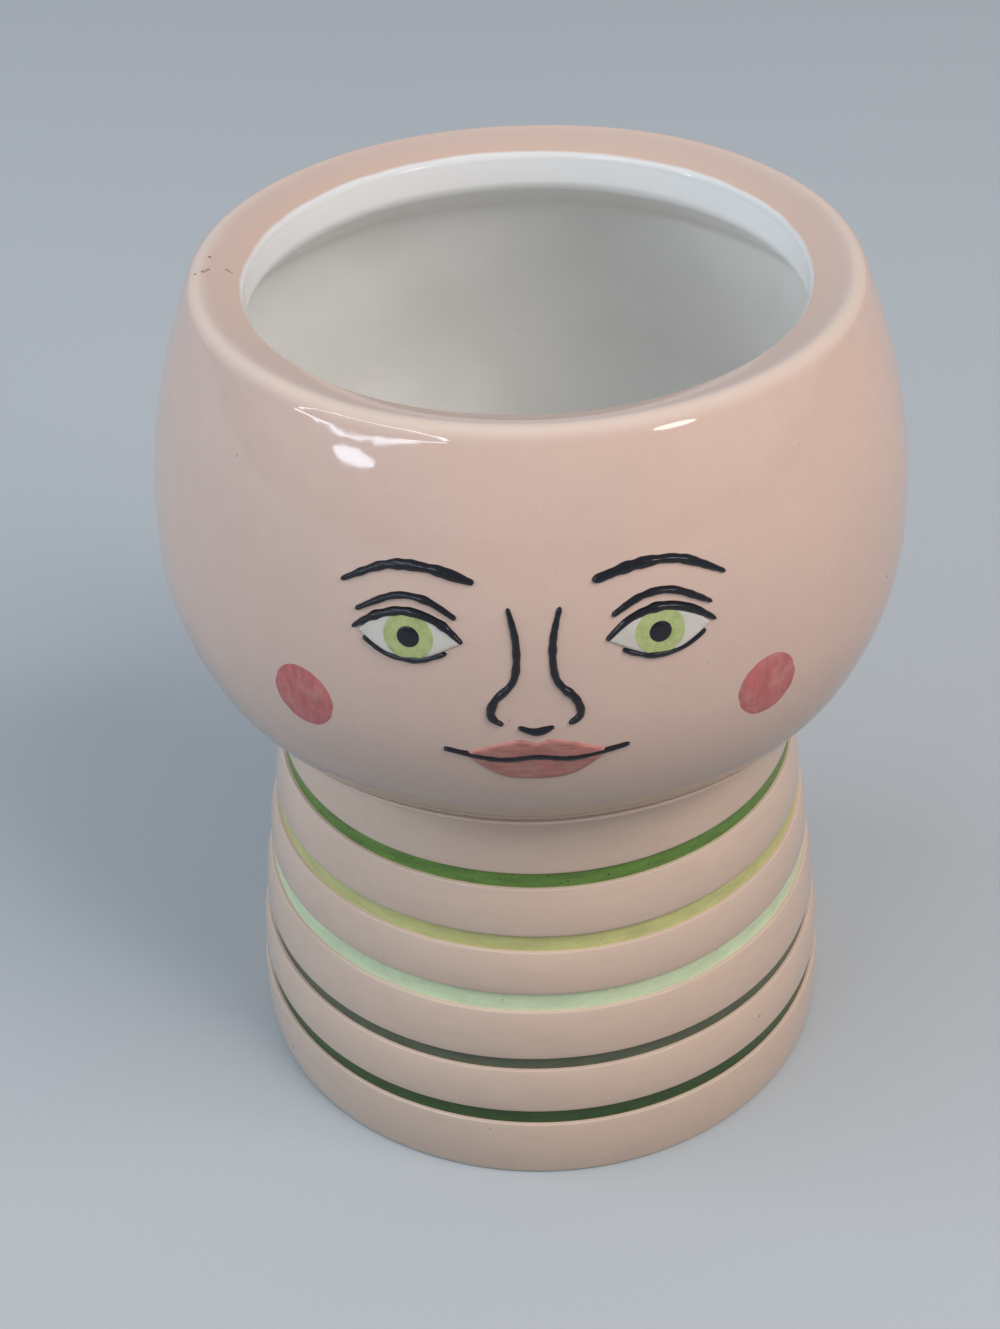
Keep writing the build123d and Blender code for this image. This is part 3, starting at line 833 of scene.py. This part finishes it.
class Finish:
    """One glaze, laid on in coats, from nodes that read the vase's own coordinates."""

    def __init__(self, name, *base):
        self.body = shade(*base)
        self.material = bpy.data.materials.new(name)
        self.material.use_nodes = True
        self.tree = self.material.node_tree
        self.tree.nodes.clear()
        self.place = self.node("ShaderNodeTexCoord", output="Object")
        self.x, self.y, self.z = [
            self.node("ShaderNodeSeparateXYZ", {}, {0: self.place}, axis) for axis in "XYZ"
        ]
        self.radius = (self.x * self.x + self.y * self.y) ** 0.5

    def node(self, kind, settings=None, sockets=None, output=0):
        """Adds a node, makes its settings, fills its sockets and gives one of its outputs."""
        made = self.tree.nodes.new(kind)
        for name, value in (settings or {}).items():
            setattr(made, name, value)
        for name, value in (sockets or {}).items():
            if isinstance(value, Field):
                self.tree.links.new(value.socket, made.inputs[name])
            else:
                made.inputs[name].default_value = value
        return Field(self, made.outputs[output]) if made.outputs else None

    def maths(self, operation, *values):
        return self.node("ShaderNodeMath", {"operation": operation}, dict(enumerate(values)))

    def stretched(self, *scale):
        """The coordinates scaled along x, y and z."""
        return self.node("ShaderNodeMapping", {}, {"Vector": self.place, "Scale": scale})

    def grain(self, size, detail=2, roughness=0.5, place=None):
        """Cloudy noise from 0 to 1, its patches about a size across."""
        return self.node("ShaderNodeTexNoise", {}, {
            "Vector": place or self.place, "Scale": 1 / size, "Detail": detail,
            "Roughness": roughness,
        })

    def spots(self, spacing, radius, share, softness=0.35):
        """Round spots in a share of the cells of a scattered pattern."""
        settings, sockets = {"feature": "F1"}, {"Vector": self.place, "Scale": 1 / spacing}
        reach = self.node("ShaderNodeTexVoronoi", settings, sockets, "Distance")
        tint = self.node("ShaderNodeTexVoronoi", settings, sockets, "Color")
        pick = self.node("ShaderNodeSeparateColor", {}, {0: tint}, "Red")
        size = self.node("ShaderNodeSeparateColor", {}, {0: tint}, "Green")
        edge = radius / spacing * (0.5 + size)
        return (reach / edge).fade(1 + softness, 1 - softness) * pick.fade(share, share * 0.98)

    def near_ring(self, radius, height, start, end, wander=0.0):
        """1 within a start distance of a ring round the axis, fading to 0 at the end distance."""
        reach = ((self.radius - radius) ** 2 + (self.z - height) ** 2) ** 0.5
        return (reach + wander).fade(end, start)

    def mix(self, mask, first, second):
        """The first colour where the mask is 0, the second where it is 1."""
        return self.node("ShaderNodeMix", {"data_type": "RGBA"}, {0: mask, 6: first, 7: second}, 2)

    def coat(self, mask, *tint):
        """Lays a shade over what is there already, where the mask is 1."""
        self.body = self.mix(mask, self.body, shade(*tint))

    def glazed(self, roughness, relief, depth):
        """Ends the material in a glazed surface with a fine relief."""
        bump = self.node("ShaderNodeBump", {}, {"Distance": depth, "Height": relief})
        surface = self.node("ShaderNodeBsdfPrincipled", {}, {
            "Base Color": self.body, "Roughness": roughness, "Normal": bump,
        })
        self.node("ShaderNodeOutputMaterial", {}, {"Surface": surface})
        return self.material


def shade(tint, share=1.0, red=1.0, green=1.0, blue=1.0):
    """A colour made lighter, darker or warmer by shares, as a socket takes it."""
    return [min(part * share * lean, 1) for part, lean in zip(tint, (red, green, blue))] + [1]


def clay_glaze(name, tint):
    """Even glaze with faint clouds and a fine grain, shared by head and neck."""
    finish = Finish(name, tint, 0.985, 0.99, 1, 1.02)
    clouds = finish.grain(30 * MM, 2, 0.55)
    mottle = finish.grain(3.6 * MM, 3, 0.6)
    fine = finish.grain(0.5 * MM, 3, 0.65)
    finish.coat(clouds.fade(*EVEN), tint, 1.015, 1.01)
    finish.coat(mottle.fade(*PATCHY) * 0.3, tint, 1.07, 1, 1.01, 1.02)
    finish.coat(fine.fade(0.5, 0.75) * 0.25, tint, 0.86, 1, 0.98, 0.96)
    return finish, fine, mottle


def add_specks(finish, share):
    """Small iron specks with a soft brown edge."""
    specks = finish.spots(4.2 * MM, 0.24 * MM, share)
    dots = finish.spots(1.9 * MM, 0.1 * MM, share * 0.4)
    finish.coat((specks * 0.75).most(dots * 0.6), colours().speck)


def orange_peel(finish, fine):
    return finish.grain(2.6 * MM, 1) + fine * 0.03


def peach_glaze():
    """The head's glaze, pale where it thins on the rim, with a painted highlight on the rim's
    front, up to the white glaze at the mouth.
    """
    c = colours()
    finish, fine, mottle = clay_glaze("peach_glaze", c.peach)
    add_specks(finish, 0.03)
    wander = (finish.grain(5 * MM, 3) - 0.5) * (3 * MM)
    inward = finish.radius + wander * 0.4
    throat, corner = throat_radius(), forehead_radius(rim_height())
    above = finish.z.fade(throat_top() - 1.2 * MM, throat_top() - MM)
    top = inward.fade(corner - 0.4 * MM, corner - 2.2 * MM) * above
    finish.coat(top, c.peach, 0.82, 0.98, 1.02, 1.05)
    warm = inward.fade(throat + 4 * MM, throat + 1.2 * MM) * above
    finish.coat(warm * 0.6, c.peach, 0.85, 1, 1, 0.96)

    shoulder = (corner - 0.7 * MM, rim_height() - 0.7 * MM)
    # Cream where the glaze thins on the rim's outer corner, plus a painted highlight there that is
    # strong over the front and sides and fades towards the back.
    thin = finish.near_ring(*shoulder, 0.3 * MM, 2.6 * MM, wander * 0.6)
    finish.coat(thin * (0.2 + finish.y.fade(0.045, 0.015) * 0.35), c.cream)
    foot = finish.near_ring(jaw_radius(), vase().ledge_top, 0.2 * MM, 0.9 * MM, wander * 0.2)
    finish.coat(foot * 0.3, c.cream)
    for across, back, size in RIM_FLECKS:
        reach = ((finish.x - across * MM) ** 2 + (finish.y - back * MM) ** 2) ** 0.5
        fleck = (reach + wander * 0.06).fade(size * 1.3 * MM, size * 0.5 * MM) * above
        finish.coat(fleck * 0.8, c.speck)

    lap = (finish.grain(11 * MM, 2) - 0.5) * (0.8 * MM) - finish.y.fade(-0.02, 0.04) * (0.25 * MM)
    edge = (finish.radius + lap).fade(throat + 0.7 * MM, throat + 0.05 * MM)
    mouth = finish.z.fade(throat_top() - 4 * MM, throat_top() - 3 * MM)
    # The white is darker at the top of the inner rounding. This is partly thinner white glaze over
    # the edge and partly painted shade that holds down the light this upward face catches.
    low = finish.z.fade(throat_top() - 0.2 * MM, throat_top() - 1.3 * MM)
    white = finish.mix(low, shade(c.white, 0.84), shade(c.white, 0.98))
    finish.body = finish.mix(edge * mouth, finish.body, white)
    return finish.glazed(0.03 + mottle * 0.04, orange_peel(finish, fine), PEEL_DEPTH)


def pink_glaze():
    """The neck's glaze, pale where it thins on the lower edges of the grooves, with a painted
    highlight there, and bare clay under the foot.
    """
    c = colours()
    finish, fine, mottle = clay_glaze("pink_glaze", c.pink)
    streaks = finish.grain(9 * MM, 3, 0.6, finish.stretched(1, 1, 7))
    finish.coat(streaks.fade(0.4, 0.75) * 0.3, c.pink, 0.88, 1, 0.98, 0.97)
    add_specks(finish, 0.12)
    wander = (finish.grain(3 * MM, 3) - 0.5) * (0.7 * MM)
    for band in BANDS:
        low = groove_heights(band)[0]
        # Cream along each groove's lower edge, where the glaze thins, and a painted highlight there
        # because this edge faces up into the light.
        thin = finish.near_ring(neck_radius(low), low, 0.05 * MM, 0.34 * MM, wander * 0.4)
        finish.coat(thin * 0.3, c.cream)
    edge = finish.near_ring(vase().foot_radius, 0, 0.4 * MM, 1.5 * MM, wander)
    finish.coat(edge * 0.6, c.clay)
    ring = vase().foot_radius - vase().foot_ring
    bare = (finish.z + wander * 0.5).fade(0.45 * MM, 0.25 * MM)
    recess = finish.radius.fade(ring + MM, ring) * finish.z.fade(2 * MM, 1.6 * MM)
    bare = bare.most(recess)
    finish.coat(bare, c.clay)
    gloss = 0.06 + mottle * 0.08
    return finish.glazed(gloss + (0.75 - gloss) * bare, orange_peel(finish, fine), PEEL_DEPTH)


def white_glaze():
    """The white glaze inside, full white on the upright lip and a little darker and warmer below it
    as painted shade.
    """
    white = colours().white
    finish = Finish("white_glaze", white, 0.96, 1, 0.99, 0.97)
    fine = finish.grain(0.7 * MM, 2)
    clouds = finish.grain(14 * MM, 3, 0.6)
    finish.coat(clouds.fade(*PATCHY), white, 0.93, 1, 0.99, 0.96)
    lip_foot = throat_top() - vase().lip_height
    # Painted shade: below the lip the glaze keeps the darker, warmer base, and only the lip above
    # is full white.
    finish.coat((finish.z + (clouds - 0.5) * MM).fade(lip_foot - 2 * MM, lip_foot), white)
    finish.coat(fine.fade(0.55, 0.8) * 0.15, white, 0.86)
    add_specks(finish, 0.06)
    return finish.glazed(0.05 + clouds * 0.06, orange_peel(finish, fine), PEEL_DEPTH)


def band_glaze(name, tint, cloud, dark, dark_share, light, light_share):
    """A brushed band, with streaks along it and dark or light flecks."""
    finish = Finish(name, tint, 1 - cloud)
    brush = finish.grain(6 * MM, 4, 0.65, finish.stretched(1, 1, 5))
    fine = finish.grain(0.5 * MM, 3, 0.6)
    finish.coat(brush.fade(0.3, 0.72), tint, 1 + cloud)
    finish.coat(fine.fade(*RARE) * 0.4, tint, 0.72)
    finish.coat(finish.spots(1.1 * MM, 0.16 * MM, dark_share) * 0.8, tint, dark)
    finish.coat(finish.spots(1.6 * MM, 0.2 * MM, light_share) * 0.8, tint, light)
    return finish.glazed(0.16 + brush * 0.16, brush * 0.5 + fine * 0.4, BRUSH_DEPTH)


def black_glaze():
    """Thick near-black line glaze with small pits, brown where it is thin."""
    black = colours().black
    finish = Finish(BLACK_GLAZE, black)
    clouds = finish.grain(2.6 * MM, 3, 0.6)
    pits = finish.spots(1.3 * MM, 0.11 * MM, 0.5, 0.6)
    finish.coat(clouds.fade(*SPARSE), black, 2.4, 1, 1, 1.1)
    finish.coat(pits * 0.6, black, 5, 1.15, 1, 0.9)
    relief = finish.grain(0.9 * MM, 2) - pits * 0.9
    return finish.glazed(0.05 + clouds * 0.08, relief, LINE_DEPTH)


def eye_white_glaze():
    """Off-white glaze with warm clouds and a few small specks."""
    white = colours().eye_white
    finish = Finish("eye_white_glaze", white)
    clouds = finish.grain(3 * MM, 3, 0.6)
    fine = finish.grain(0.5 * MM, 2)
    finish.coat(clouds.fade(*PATCHY), white, 0.9, 1, 0.99, 0.97)
    finish.coat(finish.spots(1.8 * MM, 0.1 * MM, 0.3) * 0.6, colours().speck)
    return finish.glazed(0.12 + clouds * 0.1, fine * 0.4 + clouds * 0.5, EYE_DEPTH)


def iris_glaze():
    """Yellow-green glaze, deeper in patches where it was brushed on twice."""
    green = colours().iris
    finish = Finish("iris_green_glaze", green)
    clouds = finish.grain(2.2 * MM, 3, 0.65)
    fine = finish.grain(0.4 * MM, 2)
    finish.coat(clouds.fade(*PATCHY), green, 0.78, 0.95, 1, 0.8)
    finish.coat(fine.fade(*RARE) * 0.4, green, 1.25)
    return finish.glazed(0.14 + clouds * 0.12, fine * 0.4 + clouds * 0.4, EYE_DEPTH)


def blush_glaze():
    """Dry brushed rose with fine streaks, pinholes and light flecks."""
    c = colours()
    finish = Finish("rose_cheek_glaze", c.blush, 0.84)
    streaks = finish.grain(1.1 * MM, 3, 0.6, finish.stretched(1, 1, 0.28))
    clouds = finish.grain(3.4 * MM, 3, 0.6)
    finish.coat(streaks.fade(*EVEN), c.blush, 1.12)
    finish.coat(clouds.fade(*SPARSE) * 0.35, c.peach, 0.8)
    pits = finish.spots(0.9 * MM, 0.08 * MM, 0.4)
    finish.coat(finish.spots(1.2 * MM, 0.1 * MM, 0.5) * 0.6, c.cream)
    return finish.glazed(0.34 + clouds * 0.14, streaks * 0.7 - pits * 0.6, BRUSH_DEPTH)


def lip_glaze():
    """Muted rose, brushed along the lips."""
    c = colours()
    finish = Finish("rose_lip_glaze", c.lips, 0.8)
    streaks = finish.grain(1 * MM, 3, 0.6, finish.stretched(0.25, 0.6, 1.2))
    clouds = finish.grain(3 * MM, 3, 0.6)
    finish.coat(streaks.fade(*EVEN), c.lips, 1.16)
    finish.coat(clouds.fade(*SPARSE) * 0.4, c.peach, 0.72)
    return finish.glazed(0.28 + clouds * 0.14, streaks * 0.7 + clouds * 0.3, BRUSH_DEPTH)


def shared(name, make):
    """A glaze that several pieces wear, made once."""
    return bpy.data.materials.get(name) or make()


def add_line(part, points, width, seed, side=1, turn=0.0):
    """Adds one raised black line of the face."""
    bm = wrapped(bead(Stroke(points), width, seed), side, turn)
    add_piece(bm, part + "_bead", shared(BLACK_GLAZE, black_glaze), part + "_line")


# ---- Operators ----


class VASE_OT_head(bpy.types.Operator):
    """Builds the head's shell, from its ledge up to the wide rounded rim"""
    bl_idname = "vase.head"
    bl_label = "Head shell"

    def execute(self, context):
        bm = head_outline().turned()
        add_piece(bm, "head_shell", peach_glaze(), "head_bowl")
        return {"FINISHED"}


class VASE_OT_ledge(bpy.types.Operator):
    """Builds the thin ledge under the jaw, with the fine groove of the seam"""
    bl_idname = "vase.ledge"
    bl_label = "Chin flange"

    def execute(self, context):
        bm, material = ledge_outline().turned(), shared("peach_glaze", peach_glaze)
        add_piece(bm, "chin_flange", material, "chin_ledge")
        return {"FINISHED"}


class VASE_OT_neck(bpy.types.Operator):
    """Builds the neck with its rings and grooves, and the foot"""
    bl_idname = "vase.neck"
    bl_label = "Ringed neck"

    def execute(self, context):
        bm = neck_outline().turned()
        add_piece(bm, "ringed_neck", pink_glaze(), "neck_and_foot")
        return {"FINISHED"}


class VASE_OT_lining(bpy.types.Operator):
    """Builds the skin of white glaze inside the vase"""
    bl_idname = "vase.lining"
    bl_label = "White lining"

    def execute(self, context):
        bm = lining_outline().turned()
        add_piece(bm, "white_lining", white_glaze(), "inner_white_glaze")
        return {"FINISHED"}


class VASE_OT_stripes(bpy.types.Operator):
    """Builds the five glaze bands in the grooves of the neck"""
    bl_idname = "vase.stripes"
    bl_label = "Band stripes"

    def execute(self, context):
        for band, look in BANDS.items():
            bm = band_outline(band).turned()
            material = band_glaze(band + "_band_glaze", getattr(colours(), band), *look)
            add_piece(bm, band + "_stripe", material, band + "_band")
        return {"FINISHED"}


class VASE_OT_eye_lines(bpy.types.Operator):
    """Builds the raised black lines of brows, lids and lashes"""
    bl_idname = "vase.eye_lines"
    bl_label = "Eye lines"

    def execute(self, context):
        f = face()
        eye = (f.eye_width, eye_height())
        lines = {
            "brow": (scaled(BROW, f.brow_length, brow_height()), f.brow_width),
            "lid_crease": (scaled(CREASE, *eye), f.crease_width),
            "upper_lash": (scaled(UPPER_LASH, *eye), f.lash_width),
            "lower_lash": (scaled(LOWER_LASH, *eye), f.lash_width),
        }
        for name, side in SIDES.items():
            for count, (part, line) in enumerate(lines.items()):
                seed = count * PART_SEED + side * SIDE_SEED
                add_line(f"{name}_{part}", *line, seed, side, f.eye_turn)
        return {"FINISHED"}


class VASE_OT_eye_glazes(bpy.types.Operator):
    """Builds the whites, irises and pupils of the eyes"""
    bl_idname = "vase.eye_glazes"
    bl_label = "Eye glazes"

    def execute(self, context):
        f = face()
        eye = (f.eye_width, eye_height())
        upper = Stroke(scaled((EYE_CORNERS[0], *UPPER_LASH[1:-1], EYE_CORNERS[1]), *eye))
        lower = Stroke(scaled((EYE_CORNERS[0], *LOWER_LASH[1:-1], EYE_CORNERS[1]), *eye))
        white, green = eye_white_glaze(), iris_glaze()
        black = shared(BLACK_GLAZE, black_glaze)
        for name, side in SIDES.items():
            for bm, part, form, material, slot in (
                (pool(lower, upper), "eye_white", "pool", white, "eye_white_glaze"),
                (iris_disc(), "iris", "pool", green, "iris_green_glaze"),
                (pupil_drop(), "pupil", "drop", black, BLACK_GLAZE),
            ):
                bm, node = wrapped(bm, side, f.eye_turn), f"{name}_{part}"
                add_piece(bm, f"{node}_{form}", material, node)
        return {"FINISHED"}


class VASE_OT_blushes(bpy.types.Operator):
    """Builds the rose patches on the cheeks"""
    bl_idname = "vase.blushes"
    bl_label = "Cheek blushes"

    def execute(self, context):
        material = blush_glaze()
        for name, side in SIDES.items():
            bm = wrapped(blush_disc(), side, face().cheek_turn)
            add_piece(bm, name + "_cheek_blush", material, name + "_cheek_disc")
        return {"FINISHED"}


class VASE_OT_nose(bpy.types.Operator):
    """Builds the raised lines of the nose"""
    bl_idname = "vase.nose"
    bl_label = "Nose lines"

    def execute(self, context):
        f = face()
        flank = scaled(NOSE_SIDE, f.nose_width / 2, nose_height(), third())
        for name, side in SIDES.items():
            add_line(name + "_nose", flank, f.nose_line, side * NOSE_SEED, side)
        base = scaled(NOSE_BASE, f.nose_width, nose_height())
        add_line("nose_base", base, f.nose_line, NOSE_BASE_SEED)
        return {"FINISHED"}


class VASE_OT_mouth(bpy.types.Operator):
    """Builds the line of the mouth and the glaze of both lips"""
    bl_idname = "vase.mouth"
    bl_label = "Mouth"

    def execute(self, context):
        f = face()
        up, rose = mouth_height(), lip_glaze()
        add_line("mouth", scaled(MOUTH, f.mouth_width, up), f.mouth_line, MOUTH_SEED)
        lips = {
            "upper": scaled(UPPER_LIP, f.mouth_width, up, f.upper_lip),
            "lower": scaled(LOWER_LIP, f.mouth_width, up, -f.lower_lip),
        }
        for name, points in lips.items():
            outer = Stroke(points)
            inner = Stroke([points[0], *scaled(MOUTH[1:-1], f.mouth_width, up), points[-1]])
            bm = wrapped(pool(inner, outer) if name == "upper" else pool(outer, inner))
            add_piece(bm, name + "_lip_wash", rose, name + "_lip_glaze")
        return {"FINISHED"}


def lamp_place(turn, rise):
    """A place that many degrees round the vase and up, as seen from the middle of the rim."""
    turn, rise = radians(turn), radians(rise)
    way = Vector((sin(turn) * cos(rise), -cos(turn) * cos(rise), sin(rise)))
    return Vector((0, 0, rim_height())) + way * LAMP_DISTANCE


def add_lamp(name, start, end, height, tint, glow, shape="RECTANGLE", mirrored=True):
    """An area lamp from one place to another, which faces the rim."""
    start, end = lamp_place(*start), lamp_place(*end)
    middle = (start + end) / 2
    lamp = bpy.data.lights.new(name, "AREA")
    lamp.shape = shape
    lamp.size, lamp.size_y = (end - start).length, height
    lamp.color = tint
    lamp.energy = glow * pi * lamp.size * height * (pi / 4 if shape == "ELLIPSE" else 1)
    holder = bpy.data.objects.new(name, lamp)
    along = (end - start).normalized()
    back = (middle - Vector((0, 0, rim_height()))).normalized()
    turned = Matrix((along, back.cross(along), back)).transposed()
    holder.location, holder.rotation_euler = middle, turned.to_euler()
    holder.visible_camera = False
    holder.visible_glossy = mirrored
    bpy.context.scene.collection.objects.link(holder)


class VASE_OT_studio(bpy.types.Operator):
    """Builds the camera, the lamps, the soft sky and the pale floor"""
    bl_idname = "vase.studio"
    bl_label = "Studio"

    def execute(self, context):
        s = studio()
        camera = bpy.data.cameras.new("photo_camera")
        camera.lens = s.lens
        holder = bpy.data.objects.new("photo_camera", camera)
        holder.location = CAMERA_PLACE
        holder.rotation_euler = (
            Matrix.Rotation(CAMERA_PAN, 3, "Z") @ Matrix.Rotation(CAMERA_TILT, 3, "X")
            @ Matrix.Rotation(CAMERA_ROLL, 3, "Z")
        ).to_euler()
        context.scene.collection.objects.link(holder)
        context.scene.camera = holder

        for name, start, end, height, tint, glow in SOFT_LAMPS:
            tint, glow = getattr(s, tint), getattr(s, glow)
            add_lamp(name, start, end, height, tint, glow, mirrored=False)
        for glints, shape in ((WINDOW_GLINTS, "RECTANGLE"), (ROUND_GLINTS, "ELLIPSE")):
            for name, start, end, height in glints:
                tint = s.key if start[0] > 0 else s.fill
                add_lamp(name, start, end, height, tint, s.glint_glow, shape)

        world = bpy.data.worlds.new("soft_sky")
        world.use_nodes = True
        context.scene.world = world
        backdrop = world.node_tree.nodes["Background"]
        backdrop.inputs["Color"].default_value = (*s.sky, 1)
        backdrop.inputs["Strength"].default_value = s.sky_level
        context.scene.view_settings.view_transform = "Standard"

        bm = bmesh.new()
        bmesh.ops.create_circle(bm, cap_ends=True, segments=FLOOR_STEPS, radius=FLOOR_RADIUS)
        mesh = bpy.data.meshes.new("pale_floor")
        bm.to_mesh(mesh)
        bm.free()
        finish = Finish("pale_floor", s.floor)
        paper = finish.grain(0.9 * MM, 2)
        finish.coat(paper.fade(0.4, 0.7), s.floor, 0.985)
        camera_ray, glossy_ray, transmission_ray = [
            finish.node("ShaderNodeLightPath", output=f"Is {ray} Ray")
            for ray in ("Camera", "Glossy", "Transmission")
        ]
        seen = camera_ray.most(glossy_ray).most(transmission_ray)
        finish.body = finish.mix(seen, shade(s.floor_bounce), finish.body)
        mesh.materials.append(finish.glazed(0.9, paper, PAPER_DEPTH))
        floor = bpy.data.objects.new("pale_floor", mesh)
        context.scene.collection.objects.link(floor)
        return {"FINISHED"}


class VASE_PT_panel(bpy.types.Panel):
    """Lists the vase's pieces and its sizes and colours"""
    bl_idname = "VASE_PT_panel"
    bl_label = "Face vase"
    bl_space_type = "VIEW_3D"
    bl_region_type = "UI"
    bl_category = "Vase"

    def draw(self, context):
        for operator in OPERATORS:
            self.layout.operator(operator.bl_idname)
        for name, group in SETTINGS.items():
            box = self.layout.box()
            box.label(text=name.replace("_", " ").capitalize())
            for prop in group.__annotations__:
                box.prop(getattr(context.scene, name), prop)


OPERATORS = (
    VASE_OT_studio, VASE_OT_head, VASE_OT_ledge, VASE_OT_neck, VASE_OT_lining, VASE_OT_stripes,
    VASE_OT_eye_lines, VASE_OT_eye_glazes, VASE_OT_blushes, VASE_OT_nose, VASE_OT_mouth,
)
SETTINGS = {
    "vase_sizes": VaseSizes,
    "face_sizes": FaceSizes,
    "glaze_colours": GlazeColours,
    "studio_settings": StudioSettings,
}


def register():
    for item in (*SETTINGS.values(), *OPERATORS, VASE_PT_panel):
        bpy.utils.register_class(item)
    for name, group in SETTINGS.items():
        setattr(bpy.types.Scene, name, bpy.props.PointerProperty(type=group))


def unregister():
    for name in SETTINGS:
        delattr(bpy.types.Scene, name)
    for item in (VASE_PT_panel, *reversed(OPERATORS), *reversed(SETTINGS.values())):
        bpy.utils.unregister_class(item)


def main():
    register()
    for operator in OPERATORS:
        getattr(bpy.ops.vase, operator.bl_idname.split(".")[1])()


if __name__ == "__main__":
    main()
